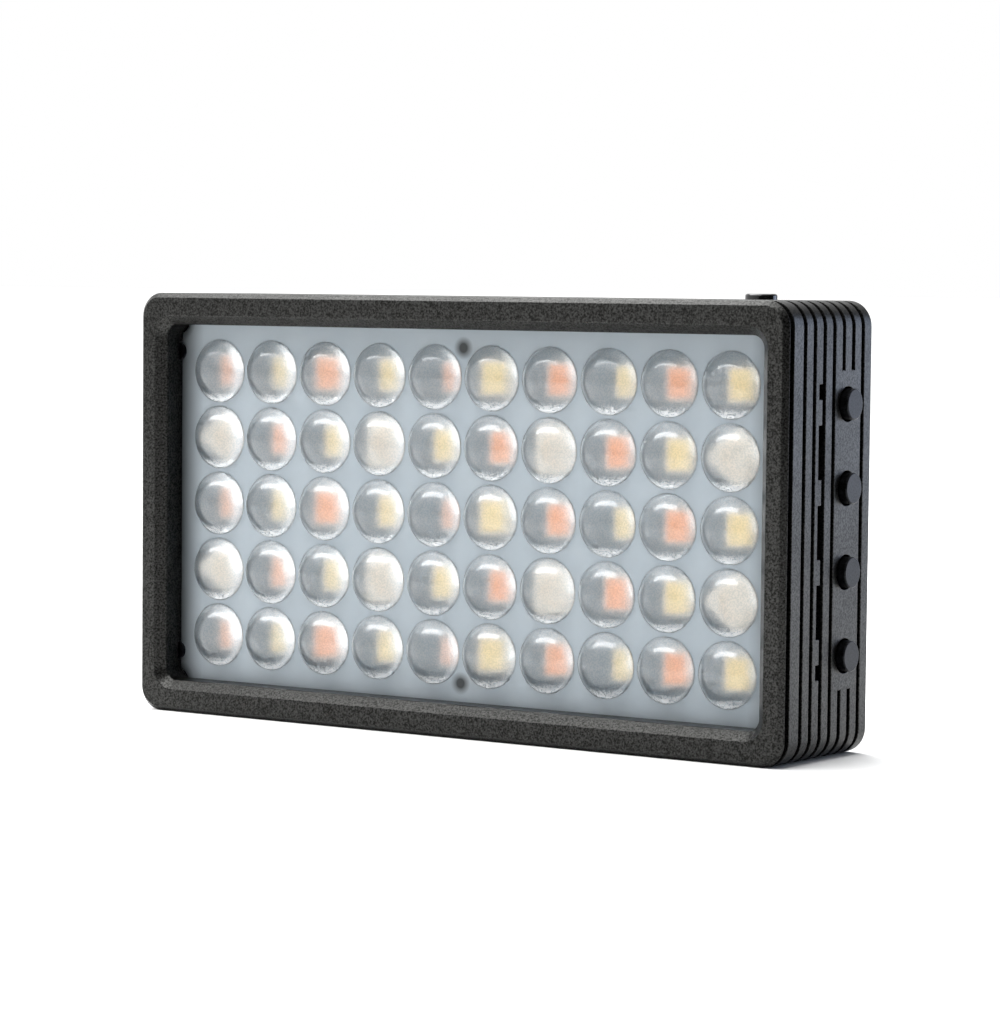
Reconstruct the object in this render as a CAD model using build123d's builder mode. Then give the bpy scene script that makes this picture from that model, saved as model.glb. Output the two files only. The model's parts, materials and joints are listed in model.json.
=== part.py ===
"""Pocket LED panel light: a finned aluminium body with a lens array, a display and five push buttons.

Frame: millimetres, +X to the light's own right seen from the front, +Y into the body, +Z up.
The origin is the mouth of the tripod socket in the bottom face.
"depth" is always measured back from the front face of the bezel.
"""
from build123d import *
import os

# ---------------------------------------------------------------- driving dimensions
width = 125.0
height = 70.0
body_depth = 26.0
corner_radius = 4.0
wall = 2.6

# fins: grooves run round the body; the last ones stop at the pads that the controls stand on
groove_count = 6
first_groove = 5.5
groove_pitch = 2.94
groove_width = 0.95
groove_cut = 1.3
groove_reach = 1.9
long_grooves = 4
boss_grooves = 2

# bezel
bezel_side_border = 3.3
bezel_top_border = 3.75
bezel_edge_chamfer = 0.8
bezel_mouth_chamfer = 1.5
bezel_flange = 1.0
shadow_gap = 1.2
mouth_corner_radius = 3.5
lip_clearance = 0.1

# lens plate
plate_depth = 5.5
plate_thickness = 1.4
plate_clearance = 0.3
lens_pitch = 11.04
lens_radius = 5.15
lens_rise = 3.2
lens_seat = 0.35

# light engine
led_board_depth = 8.3
led_board_thickness = 0.8
led_board_clearance = 0.3
pad_thickness = 0.2
web_thickness = 1.0
ledge = 2.5
board_notch_radius = 3.0
package_size = (2.8, 3.5)
package_height = 0.7
rgb_package_size = 5.0
rgb_package_height = 0.8
phosphor_size = (2.4, 3.1)
phosphor_depth = 0.4
rgb_cavity_radius = 2.0
rgb_cavity_depth = 0.5
chip_size = 0.3
chip_height = 0.15
fit_gap = 0.02
led_shift = 1.0

# screws
post_inset = (4.2, 4.65)
post_radius = 1.7
post_clearance = 0.2
plate_notch_radius = 2.1
column_radius = 2.4
long_screw_radius = 0.8
long_screw_head_radius = 1.6
long_screw_head = 1.4
long_screw_tip_depth = 3.2
screw_head_sink = 0.2
screw_clearance = 0.15
lens_screw_inset = 4.2
lens_screw_top_inset = 9.8
lens_screw_radius = 0.6
lens_screw_head_radius = 1.45
lens_screw_head = 0.6
lens_screw_length = 2.6
board_screw_inset = 8.2
board_screw_radius = 0.75
board_screw_head_radius = 1.25
board_screw_head = 0.6
drive_across = 0.9
drive_depth = 0.35

# battery and main board
battery_side_margin = 18.5
battery_end_margin = 10.0
battery_thickness = 6.5
battery_corner = 1.0
foam_thickness = 0.5
foam_inset = 2.0
main_board_depth = 20.2
main_board_thickness = 1.0
main_board_side_margin = 4.5
main_board_bottom_margin = 9.0
main_board_top_margin = 4.7
main_post_inset = (13.0, 12.5)
main_post_radius = 2.2
main_screw_radius = 0.75
main_screw_head_radius = 1.5
main_screw_head = 0.8
main_screw_length = 4.0

# back cover
cover_skin = 1.4
cover_lip = 1.2
cover_lip_wall = 1.2
cover_edge_chamfer = 0.2

# display
display_centre = (0.0, 6.0)
window_size = (34.0, 20.0)
window_thickness = 0.9
window_ledge = 1.5
window_clearance = 0.1
window_corner_radius = 1.5
display_gap = 0.1

# side buttons
side_button_count = 4
side_button_inset = 15.725
side_button_radius = 2.4
side_button_proud = 1.3
button_hole_clearance = 0.3
button_flange = 0.8
button_flange_thickness = 0.6
button_inner_clearance = 0.3
button_stem_radius = 1.2
button_edge_chamfer = 0.15
button_travel = 0.4
pad_inset = 10.5
press_gap = 0.05

# power button
power_button_inset = 15.6
power_button_radius = 2.5
power_button_proud = 0.9
power_pad_length = 12.0

# switches
switch_size = 2.9
switch_body = 1.6
plunger_radius = 1.0
plunger_height = 0.5
switch_board_thickness = 1.0
switch_board_inset = 12.0
switch_board_reach = 5.5
power_switch_length = 4.5

# vent slots in the third groove
vent_groove = 3
vent_reach = 1.0
long_vent = 8.2
vent_bridge = 3.9
short_vent = 2.3

# charging socket, in the left wall
usb_width = 8.9
usb_height = 3.2
usb_length = 7.3
usb_shell = 0.3
usb_tongue = (6.6, 0.7, 4.5)
usb_drop = 12.0
usb_pad_length = 16.0
usb_hole_clearance = 0.2

# tripod socket, a quarter inch by twenty threads per inch insert
socket_depth = 16.3
socket_bore_radius = 3.175
socket_radius = 4.3
socket_length = 7.0
socket_flange_radius = 5.0
socket_flange = 1.0
socket_boss = 1.4
socket_pad_length = 18.0

# driver parts on the main board
coil_radius = 3.0
coil_height = 2.2
coil_columns = (26.0, 34.0)
coil_rise = 6.0
chip_columns = (-30.0, -14.0, 6.0)
chip_rise = 8.0
chip_sizes = ((7.0, 7.0, 1.0), (5.0, 5.0, 0.9), (6.0, 4.0, 1.2))
connector_size = (4.5, 8.0, 2.0)
connector_inset = 12.5
connector_drop = 10.0
lead_radius = 0.5
lead_pitch = 2.0
lead_bend = 1.5
ribbon_width = 6.0
ribbon_thickness = 0.2
ribbon_clearance = 0.2
ribbon_inset = 12.5

# ---------------------------------------------------------------- derived places
half_width = width / 2
half_height = height / 2
housing_front = bezel_flange + shadow_gap
parting_groove = first_groove + groove_count * groove_pitch
housing_back = parting_groove - groove_width / 2
cover_front = parting_groove + groove_width / 2
groove_floor = (width - 2 * groove_cut, height - 2 * groove_cut)
cavity = (width - 2 * wall, height - 2 * wall)
cavity_radius = corner_radius - wall
mouth = (width - 2 * bezel_side_border, height - 2 * bezel_top_border)
lip_outer = (cavity[0] - 2 * lip_clearance, cavity[1] - 2 * lip_clearance)
lip_inner = (lip_outer[0] - 2 * cover_lip_wall, lip_outer[1] - 2 * cover_lip_wall)
throat = (mouth[0] - 2 * bezel_mouth_chamfer, mouth[1] - 2 * bezel_mouth_chamfer)
throat_radius = mouth_corner_radius - bezel_mouth_chamfer
lens_columns = int(throat[0] // lens_pitch)
lens_rows = int(throat[1] // lens_pitch)
plate_back = plate_depth + plate_thickness
plate = (cavity[0] - 2 * plate_clearance, cavity[1] - 2 * plate_clearance)
board_pocket = (cavity[0] - 2 * ledge, cavity[1] - 2 * ledge)
led_board = (board_pocket[0] - 2 * led_board_clearance, board_pocket[1] - 2 * led_board_clearance)
led_board_back = led_board_depth + led_board_thickness
web_front = led_board_back + pad_thickness
web_back = web_front + web_thickness
post_x = half_width - post_inset[0]
post_z = half_height - post_inset[1]
lens_screw_x = half_width - lens_screw_inset
lens_screw_rise = half_height - lens_screw_top_inset
board_screw_rise = half_height - board_screw_inset
ribbon_x = half_width - ribbon_inset
battery_size = (width - 2 * battery_side_margin, height - 2 * battery_end_margin, battery_thickness)
cover_inside = body_depth - cover_skin
button_depth = (first_groove + (long_grooves - 1) * groove_pitch + parting_groove) / 2
battery_front = web_back + foam_thickness
main_board_back = main_board_depth + main_board_thickness
main_board_left = main_board_side_margin - half_width
main_board_bottom = main_board_bottom_margin - half_height
main_board_top = half_height - main_board_top_margin
main_post_place = (half_width - main_post_inset[0], half_height - main_post_inset[1])
connector_place = (half_width - connector_inset, -connector_drop)
side_button_pitch = (height - 2 * side_button_inset) / (side_button_count - 1)
pad_length = height - 2 * pad_inset
power_button_x = half_width - power_button_inset
switch_board_length = height - 2 * switch_board_inset
button_inner_x = half_width - wall - button_inner_clearance
switch_face_x = button_inner_x - button_flange_thickness - button_inner_clearance - button_travel
switch_board_x = switch_face_x - press_gap - plunger_height - switch_body
power_inner_z = height - wall - button_inner_clearance
power_press_z = power_inner_z - button_flange_thickness - button_inner_clearance - button_travel
main_board_right = switch_board_x
usb_depth = main_board_depth - usb_height / 2
usb_z = half_height - usb_drop


def face_plane(depth):
    """A plane parallel to the front face, centred on the body, its normal towards the front."""
    return Plane(origin=(0, depth - socket_depth, half_height), x_dir=(1, 0, 0), z_dir=(0, -1, 0))


def right_plane(x):
    """A plane parallel to the right wall; its own x runs into the body and its own y runs up."""
    origin = (x, -socket_depth, half_height)
    return Plane(origin=origin, x_dir=(0, 1, 0), z_dir=(1, 0, 0))


def level_plane(z):
    """A horizontal plane; its own y is depth from the front face."""
    return Plane(origin=(0, -socket_depth, z), x_dir=(1, 0, 0), z_dir=(0, 0, 1))


def mirrored(x, y):
    """The four corner places at plus and minus x and y."""
    return [(sx * x, sy * y) for sx in (-1, 1) for sy in (-1, 1)]


def finish(part, name):
    """Label the finished piece and write it out."""
    part.label = name
    export_step(part, f"parts/{name}.step")


corner_posts = mirrored(post_x, post_z)
lens_screw_places = mirrored(lens_screw_x, lens_screw_rise)
board_screw_places = [(0, -board_screw_rise), (0, board_screw_rise)]
main_post_places = mirrored(*main_post_place)
side_button_heights = [
    (side_button_count - 1) / 2 * side_button_pitch - i * side_button_pitch
    for i in range(side_button_count)
]

# lens and light source layout: warm and cool alternate, with colour packages on the even rows
lens_places = [
    ((column - (lens_columns - 1) / 2) * lens_pitch, ((lens_rows - 1) / 2 - row) * lens_pitch)
    for row in range(lens_rows)
    for column in range(lens_columns)
]
warm_places = []
cool_places = []
rgb_places = []
for index, (x, y) in enumerate(lens_places):
    row, column = divmod(index, lens_columns)
    if row % 2 and column % 3 == 0:
        turn = 45 if column in (0, lens_columns - 1) else 0
        rgb_places.append((x, y, turn))
    elif row % 2:
        warm = column in (1, 5, 7)
        (warm_places if warm else cool_places).append((x, y))
    else:
        shift = {2: -led_shift, 5: -led_shift, 4: led_shift, 7: led_shift}.get(column, 0)
        (cool_places if column % 2 else warm_places).append((x + shift, y))

os.makedirs("parts", exist_ok=True)

# ---------------------------------------------------------------- front bezel
with BuildPart() as front_bezel:
    with BuildSketch(face_plane(0)):
        RectangleRounded(width, height, corner_radius)
    extrude(amount=-bezel_flange)
    chamfer(front_bezel.faces().sort_by(Axis.Y)[0].edges(), bezel_edge_chamfer)
    with BuildSketch(face_plane(bezel_flange)):
        RectangleRounded(*groove_floor, corner_radius - groove_cut)
    extrude(amount=-shadow_gap)
    with BuildSketch(face_plane(housing_front)):
        RectangleRounded(*lip_outer, cavity_radius)
    extrude(amount=-(plate_depth - housing_front))
    with BuildSketch(face_plane(plate_depth)):
        with Locations(*corner_posts):
            Circle(post_radius)
    extrude(amount=-(web_front - lip_clearance - plate_depth))
    with BuildSketch(face_plane(0)):
        RectangleRounded(*throat, throat_radius)
    extrude(amount=-plate_depth, mode=Mode.SUBTRACT)
    front_face = front_bezel.faces().sort_by(Axis.Y)[0]
    chamfer(front_face.inner_wires()[0].edges(), bezel_mouth_chamfer)
    with BuildSketch(face_plane(plate_depth)):
        with Locations(*lens_screw_places):
            Circle(lens_screw_head_radius + post_clearance)
    extrude(amount=lens_screw_head + post_clearance, mode=Mode.SUBTRACT)
    with BuildSketch(face_plane(long_screw_tip_depth - post_clearance)):
        with Locations(*corner_posts):
            Circle(long_screw_radius + fit_gap)
    extrude(amount=-web_front, mode=Mode.SUBTRACT)
finish(front_bezel.part, "front_bezel")

# ---------------------------------------------------------------- lens plate
sphere_radius = (lens_radius**2 + lens_rise**2) / (2 * lens_rise)
with BuildPart(mode=Mode.PRIVATE) as dome:
    with BuildSketch(Plane.XZ):
        with BuildLine():
            Line((0, lens_rise), (0, -lens_seat))
            Line((0, -lens_seat), (lens_radius, -lens_seat))
            Line((lens_radius, -lens_seat), (lens_radius, 0))
            RadiusArc((lens_radius, 0), (0, lens_rise), -sphere_radius)
        make_face()
    revolve(axis=Axis.Z)

with BuildPart() as lens_plate:
    with BuildSketch(face_plane(plate_depth)):
        RectangleRounded(*plate, cavity_radius)
        with Locations(*corner_posts):
            Circle(plate_notch_radius, mode=Mode.SUBTRACT)
        with Locations(*lens_screw_places):
            Circle(lens_screw_radius + screw_clearance, mode=Mode.SUBTRACT)
    extrude(amount=-plate_thickness)
    with Locations(face_plane(plate_depth)):
        with Locations(*lens_places):
            add(dome.part)
finish(lens_plate.part, "lens_plate")


# ---------------------------------------------------------------- fasteners
def screw_row(places, under_head, direction, shank, length, head, head_height):
    """Pan head screws on the face planes: heads stand from under_head, shanks run the other way."""
    with BuildPart() as screws:
        with BuildSketch(face_plane(under_head)):
            with Locations(*places):
                Circle(head)
        extrude(amount=head_height * direction)
        with BuildSketch(face_plane(under_head)):
            with Locations(*places):
                Circle(shank)
        extrude(amount=-length * direction)
        with BuildSketch(face_plane(under_head - direction * head_height)):
            with Locations(*places):
                RegularPolygon(drive_across, 6)
        extrude(amount=-drive_depth * direction, mode=Mode.SUBTRACT)
    return screws.part


lens_screws = screw_row(
    lens_screw_places,
    plate_depth,
    1,
    lens_screw_radius,
    lens_screw_length,
    lens_screw_head_radius,
    lens_screw_head,
)
finish(lens_screws, "lens_screws")
board_screws = screw_row(
    board_screw_places,
    led_board_depth,
    1,
    board_screw_radius,
    web_back - led_board_depth - fit_gap,
    board_screw_head_radius,
    board_screw_head,
)
finish(board_screws, "board_screws")
assembly_screws = screw_row(
    corner_posts,
    body_depth - long_screw_head,
    -1,
    long_screw_radius,
    body_depth - long_screw_head - long_screw_tip_depth,
    long_screw_head_radius,
    long_screw_head - screw_head_sink,
)
finish(assembly_screws, "assembly_screws")
main_board_screws = screw_row(
    main_post_places,
    main_board_back,
    -1,
    main_screw_radius,
    main_screw_length,
    main_screw_head_radius,
    main_screw_head,
)
finish(main_board_screws, "main_board_screws")

# ---------------------------------------------------------------- light engine
with BuildPart() as led_board_plate:
    with BuildSketch(face_plane(led_board_depth)):
        RectangleRounded(*led_board, cavity_radius)
        with Locations(*corner_posts):
            Circle(board_notch_radius, mode=Mode.SUBTRACT)
        with Locations(*board_screw_places):
            Circle(board_screw_radius + screw_clearance, mode=Mode.SUBTRACT)
    extrude(amount=-led_board_thickness)
finish(led_board_plate.part, "led_board")

with BuildPart() as thermal_pad:
    with BuildSketch(face_plane(led_board_back)):
        Rectangle(2 * ribbon_x - 2 * ribbon_width, led_board[1] - ledge)
        with Locations(*board_screw_places):
            Circle(board_screw_head_radius, mode=Mode.SUBTRACT)
    extrude(amount=-pad_thickness)
finish(thermal_pad.part, "thermal_pad")


def white_packages(places):
    """Moulded packages on the board, each with the rectangular cup that its phosphor fills."""
    with BuildPart() as packages:
        with BuildSketch(face_plane(led_board_depth)):
            with Locations(*places):
                Rectangle(*package_size)
        extrude(amount=package_height)
        with BuildSketch(face_plane(led_board_depth - package_height)):
            with Locations(*places):
                Rectangle(*phosphor_size)
        extrude(amount=-phosphor_depth, mode=Mode.SUBTRACT)
    return packages.part


def phosphor_fills(places):
    """The phosphor in each cup, just inside its walls."""
    cup_floor = led_board_depth - package_height + phosphor_depth
    with BuildPart() as fills:
        with BuildSketch(face_plane(cup_floor)):
            with Locations(*places):
                Rectangle(phosphor_size[0] - 2 * fit_gap, phosphor_size[1] - 2 * fit_gap)
        extrude(amount=phosphor_depth - fit_gap)
    return fills.part


finish(white_packages(warm_places), "warm_led_packages")
finish(white_packages(cool_places), "cool_led_packages")
finish(phosphor_fills(warm_places), "warm_phosphors")
finish(phosphor_fills(cool_places), "cool_phosphors")

rgb_top = led_board_depth - rgb_package_height
with BuildPart() as rgb_led_packages:
    for x, y, turn in rgb_places:
        with BuildSketch(face_plane(led_board_depth)):
            with Locations(Location((x, y), turn)):
                RectangleRounded(rgb_package_size, rgb_package_size, rgb_cavity_depth)
        extrude(amount=rgb_package_height)
        with BuildSketch(face_plane(rgb_top)):
            with Locations((x, y)):
                Circle(rgb_cavity_radius)
        extrude(amount=-rgb_cavity_depth, mode=Mode.SUBTRACT)
finish(rgb_led_packages.part, "rgb_led_packages")

with BuildPart() as rgb_chips:
    for x, y, turn in rgb_places:
        with BuildSketch(face_plane(rgb_top + rgb_cavity_depth)):
            with Locations((x, y)):
                with PolarLocations(rgb_cavity_radius / 2, 3, start_angle=90 + turn):
                    Rectangle(chip_size, chip_size)
        extrude(amount=chip_height)
finish(rgb_chips.part, "rgb_chips")

# ---------------------------------------------------------------- finned housing
with BuildPart() as finned_housing:
    with BuildSketch(face_plane(housing_front)):
        RectangleRounded(width, height, corner_radius)
    extrude(amount=-(housing_back - housing_front))
    # front pocket for the bezel lip and lens plate, then the smaller pocket for the LED board
    with BuildSketch(face_plane(housing_front)):
        RectangleRounded(*cavity, cavity_radius)
    extrude(amount=-(plate_back - housing_front), mode=Mode.SUBTRACT)
    with BuildSketch(face_plane(plate_back)):
        RectangleRounded(*board_pocket, cavity_radius)
        with Locations(*corner_posts):
            Circle(plate_notch_radius)
    extrude(amount=-(web_front - plate_back), mode=Mode.SUBTRACT)
    with BuildSketch(face_plane(housing_front)):
        with Locations(*corner_posts):
            Circle(post_radius + post_clearance)
    extrude(amount=-(web_front - housing_front), mode=Mode.SUBTRACT)
    # rear cavity, less the corner columns and the main board posts
    with BuildSketch(face_plane(web_back)):
        RectangleRounded(*cavity, cavity_radius)
        with Locations(*corner_posts):
            Circle(column_radius, mode=Mode.SUBTRACT)
    extrude(amount=-(housing_back - web_back), mode=Mode.SUBTRACT)
    with BuildSketch(face_plane(web_back)):
        with Locations(*main_post_places):
            Circle(main_post_radius)
    extrude(amount=-(main_board_depth - web_back))
    # boss for the tripod socket
    with BuildSketch(level_plane(0)):
        with Locations((0, socket_depth)):
            Circle(socket_radius + socket_boss)
    extrude(amount=socket_length + socket_boss)
    # screw holes
    with BuildSketch(face_plane(web_front)):
        with Locations(*corner_posts):
            Circle(long_screw_radius + screw_clearance)
        with Locations(*board_screw_places):
            Circle(board_screw_radius + fit_gap)
    extrude(amount=-(housing_back - web_front), mode=Mode.SUBTRACT)
    with BuildSketch(face_plane(plate_back)):
        with Locations(*lens_screw_places):
            Circle(lens_screw_radius + fit_gap)
    extrude(amount=-(lens_screw_length - plate_thickness + screw_clearance), mode=Mode.SUBTRACT)
    with BuildSketch(face_plane(main_board_depth)):
        with Locations(*main_post_places):
            Circle(main_screw_radius + fit_gap)
    extrude(amount=main_screw_length - main_board_thickness + screw_clearance, mode=Mode.SUBTRACT)
    # ribbon slot through the web
    with BuildSketch(face_plane(web_front)):
        with Locations((-ribbon_x, 0)):
            Rectangle(ribbon_thickness + 2 * ribbon_clearance, ribbon_width + 2 * ribbon_clearance)
    extrude(amount=-web_thickness, mode=Mode.SUBTRACT)
    # tripod socket seat
    with BuildSketch(level_plane(0)):
        with Locations((0, socket_depth)):
            Circle(socket_radius + fit_gap)
    extrude(amount=socket_length + fit_gap, mode=Mode.SUBTRACT)
    with BuildSketch(level_plane(0)):
        with Locations((0, socket_depth)):
            Circle(socket_flange_radius + fit_gap)
    extrude(amount=socket_flange, mode=Mode.SUBTRACT)
    # grooves, each a ring cut all round, less the flat pads that the controls stand on
    for k in range(groove_count):
        depth = first_groove + k * groove_pitch
        with BuildPart(mode=Mode.PRIVATE) as ring:
            with BuildSketch(face_plane(depth - groove_width / 2)):
                Rectangle(width + wall, height + wall)
                RectangleRounded(*groove_floor, corner_radius - groove_cut, mode=Mode.SUBTRACT)
            extrude(amount=-groove_width)
            if k >= long_grooves:
                with BuildSketch(right_plane(half_width - groove_cut)):
                    with Locations((depth, 0)):
                        SlotOverall(pad_length, groove_reach, rotation=90)
                extrude(amount=wall, mode=Mode.SUBTRACT)
                with BuildSketch(level_plane(height - groove_cut)):
                    with Locations((power_button_x, depth)):
                        SlotOverall(power_pad_length, groove_reach)
                extrude(amount=wall, mode=Mode.SUBTRACT)
                with BuildSketch(right_plane(-half_width + groove_cut)):
                    with Locations((depth, usb_z - half_height)):
                        SlotOverall(usb_pad_length, groove_reach, rotation=90)
                extrude(amount=-wall, mode=Mode.SUBTRACT)
            if k >= boss_grooves:
                with BuildSketch(level_plane(groove_cut)):
                    with Locations((0, depth)):
                        SlotOverall(socket_pad_length, groove_reach)
                extrude(amount=-wall, mode=Mode.SUBTRACT)
        add(ring.part, mode=Mode.SUBTRACT)
    # vent slots through both side walls, in the third groove and a little into the fin before it
    vent_back = first_groove + (vent_groove - 1) * groove_pitch + groove_width / 2
    vent_width = groove_width + vent_reach
    long_pitch = long_vent + vent_bridge
    short_rise = long_pitch + long_vent / 2 + vent_bridge + short_vent / 2
    with BuildSketch(right_plane(-half_width)):
        with Locations(*[(vent_back - vent_width / 2, i * long_pitch) for i in (-1, 0, 1)]):
            Rectangle(vent_width, long_vent)
        with Locations(*[(vent_back - vent_width / 2, i * short_rise) for i in (-1, 1)]):
            Rectangle(vent_width, short_vent)
    extrude(amount=wall, mode=Mode.SUBTRACT)
    with BuildSketch(right_plane(half_width - wall)):
        with Locations(*[(vent_back - vent_width / 2, i * long_pitch) for i in (-1, 0, 1)]):
            Rectangle(vent_width, long_vent)
        with Locations(*[(vent_back - vent_width / 2, i * short_rise) for i in (-1, 1)]):
            Rectangle(vent_width, short_vent)
    extrude(amount=wall, mode=Mode.SUBTRACT)
    # button holes, power button hole and charging socket hole
    with BuildSketch(right_plane(half_width - wall)):
        with Locations(*[(button_depth, z) for z in side_button_heights]):
            Circle(side_button_radius + button_hole_clearance)
    extrude(amount=wall, mode=Mode.SUBTRACT)
    with BuildSketch(level_plane(height - wall)):
        with Locations((power_button_x, button_depth)):
            Circle(power_button_radius + button_hole_clearance)
    extrude(amount=wall, mode=Mode.SUBTRACT)
    with BuildSketch(right_plane(-half_width)):
        with Locations((usb_depth, usb_z - half_height)):
            mouth_size = (usb_width + 2 * usb_hole_clearance, usb_height + 2 * usb_hole_clearance)
            SlotOverall(*mouth_size, rotation=90)
    extrude(amount=wall, mode=Mode.SUBTRACT)
finish(finned_housing.part, "finned_housing")

# ---------------------------------------------------------------- back cover and display
with BuildPart() as back_cover:
    with BuildSketch(face_plane(cover_front)):
        RectangleRounded(width, height, corner_radius)
    extrude(amount=-(body_depth - cover_front))
    chamfer(back_cover.faces().sort_by(Axis.Y)[-1].edges(), cover_edge_chamfer)
    with BuildSketch(face_plane(housing_back)):
        RectangleRounded(*groove_floor, corner_radius - groove_cut)
    extrude(amount=-groove_width)
    # locating lip inside the housing
    with BuildSketch(face_plane(housing_back)):
        RectangleRounded(*lip_outer, cavity_radius)
        RectangleRounded(*lip_inner, cavity_radius, mode=Mode.SUBTRACT)
        with Locations(*corner_posts):
            Circle(column_radius + plate_clearance, mode=Mode.SUBTRACT)
    extrude(amount=cover_lip)
    # the lip stops where the buttons, the charging socket and the tripod boss stand
    with BuildSketch(face_plane(housing_back)):
        with Locations((half_width - wall, 0)):
            Rectangle(2 * wall, pad_length)
        with Locations((power_button_x, half_height - wall)):
            Rectangle(power_pad_length, 2 * wall)
        with Locations((0, wall - half_height)):
            Rectangle(socket_pad_length, 2 * wall)
    extrude(amount=cover_lip, mode=Mode.SUBTRACT)
    # hollow inside, less the four screw bosses
    with BuildSketch(face_plane(housing_back)):
        RectangleRounded(*lip_inner, cavity_radius)
        with Locations(*corner_posts):
            Circle(column_radius, mode=Mode.SUBTRACT)
    extrude(amount=-(cover_inside - housing_back), mode=Mode.SUBTRACT)
    # long screw holes and head recesses
    with BuildSketch(face_plane(housing_back)):
        with Locations(*corner_posts):
            Circle(long_screw_radius + screw_clearance)
    extrude(amount=-(body_depth - housing_back), mode=Mode.SUBTRACT)
    with BuildSketch(face_plane(body_depth)):
        with Locations(*corner_posts):
            Circle(long_screw_head_radius + screw_clearance)
    extrude(amount=long_screw_head, mode=Mode.SUBTRACT)
    # display opening with a ledge for the window
    with BuildSketch(face_plane(body_depth)):
        with Locations(display_centre):
            seat_size = (window_size[0] + 2 * window_clearance, window_size[1] + 2 * window_clearance)
            RectangleRounded(*seat_size, window_corner_radius + window_clearance)
    extrude(amount=window_thickness, mode=Mode.SUBTRACT)
    with BuildSketch(face_plane(body_depth)):
        with Locations(display_centre):
            RectangleRounded(
                window_size[0] - 2 * window_ledge, window_size[1] - 2 * window_ledge, window_corner_radius
            )
    extrude(amount=body_depth - housing_back, mode=Mode.SUBTRACT)
finish(back_cover.part, "back_cover")

with BuildPart() as display_window:
    with BuildSketch(face_plane(body_depth - window_thickness)):
        with Locations(display_centre):
            RectangleRounded(*window_size, window_corner_radius)
    extrude(amount=-window_thickness)
finish(display_window.part, "display_window")

with BuildPart() as display_module:
    with BuildSketch(face_plane(main_board_back)):
        with Locations(display_centre):
            Rectangle(window_size[0] - window_ledge, window_size[1] - window_ledge)
    extrude(amount=-(cover_inside - display_gap - main_board_back))
finish(display_module.part, "display_module")

# ---------------------------------------------------------------- main board and what is on it
with BuildPart() as main_board:
    with BuildSketch(face_plane(main_board_depth)):
        board_centre = ((main_board_left + main_board_right) / 2, (main_board_bottom + main_board_top) / 2)
        with Locations(board_centre):
            Rectangle(main_board_right - main_board_left, main_board_top - main_board_bottom)
        with Locations(*corner_posts):
            Circle(column_radius + plate_clearance, mode=Mode.SUBTRACT)
        with Locations(*main_post_places):
            Circle(main_screw_radius + screw_clearance, mode=Mode.SUBTRACT)
    extrude(amount=-main_board_thickness)
finish(main_board.part, "main_board")

coil_places = [(x, main_board_bottom + coil_rise) for x in coil_columns]
with BuildPart() as driver_coils:
    with BuildSketch(face_plane(main_board_back)):
        with Locations(*coil_places):
            RectangleRounded(2 * coil_radius, 2 * coil_radius, coil_radius / 2)
    extrude(amount=-coil_height)
finish(driver_coils.part, "driver_coils")

chip_places = [(x, main_board_bottom + chip_rise) for x in chip_columns]
with BuildPart() as control_chips:
    for place, (length, breadth, thickness) in zip(chip_places, chip_sizes):
        with BuildSketch(face_plane(main_board_back)):
            with Locations(place):
                Rectangle(length, breadth)
        extrude(amount=-thickness)
finish(control_chips.part, "control_chips")

with BuildPart() as battery_connector:
    with BuildSketch(face_plane(main_board_depth)):
        with Locations(connector_place):
            Rectangle(connector_size[0], connector_size[1])
    extrude(amount=connector_size[2])
    chamfer(battery_connector.edges().filter_by(Axis.Y), lead_radius)
finish(battery_connector.part, "battery_connector")

with BuildPart() as battery_pad:
    with BuildSketch(face_plane(web_back)):
        Rectangle(battery_size[0] - 2 * foam_inset, battery_size[1] - 2 * foam_inset)
    extrude(amount=-foam_thickness)
finish(battery_pad.part, "battery_pad")

with BuildPart() as battery:
    with BuildSketch(face_plane(battery_front)):
        RectangleRounded(battery_size[0], battery_size[1], battery_corner)
    extrude(amount=-battery_size[2])
    fillet(battery.faces().filter_by(Axis.Y).edges(), battery_corner / 2)
finish(battery.part, "battery")

with BuildPart() as battery_lead:
    for side in (-1, 1):
        lead_level = half_height + connector_place[1] + side * lead_pitch / 2
        with BuildLine(level_plane(lead_level)) as route:
            FilletPolyline(
                (battery_size[0] / 2, battery_front + battery_size[2] / 2),
                (connector_place[0], battery_front + battery_size[2] / 2),
                (connector_place[0], main_board_depth - connector_size[2]),
                radius=lead_bend,
            )
        with BuildSketch(Plane(origin=route.line @ 0, z_dir=route.line % 0)):
            Circle(lead_radius)
        sweep(path=route.line)
finish(battery_lead.part, "battery_lead")

# flat ribbon from the LED board, through the web slot, to the main board
with BuildPart() as led_ribbon:
    with BuildSketch(level_plane(half_height - ribbon_width / 2)):
        with Locations((-ribbon_x, (led_board_back + main_board_depth) / 2)):
            Rectangle(ribbon_thickness, main_board_depth - led_board_back)
    extrude(amount=ribbon_width)
finish(led_ribbon.part, "led_ribbon")

# ---------------------------------------------------------------- charging socket
usb_mouth_x = -half_width + groove_cut / 2
with BuildPart() as usb_shell_part:
    with BuildSketch(right_plane(usb_mouth_x)):
        with Locations((usb_depth, usb_z - half_height)):
            SlotOverall(usb_width, usb_height, rotation=90)
    extrude(amount=usb_length)
    with BuildSketch(right_plane(usb_mouth_x)):
        with Locations((usb_depth, usb_z - half_height)):
            SlotOverall(usb_width - 2 * usb_shell, usb_height - 2 * usb_shell, rotation=90)
    extrude(amount=usb_length - usb_shell, mode=Mode.SUBTRACT)
    with BuildSketch(right_plane(usb_mouth_x + usb_length - usb_shell)):
        with Locations((usb_depth, usb_z - half_height)):
            Rectangle(usb_tongue[1], usb_tongue[0])
    extrude(amount=-usb_tongue[2])
finish(usb_shell_part.part, "usb_c_socket")

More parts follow.
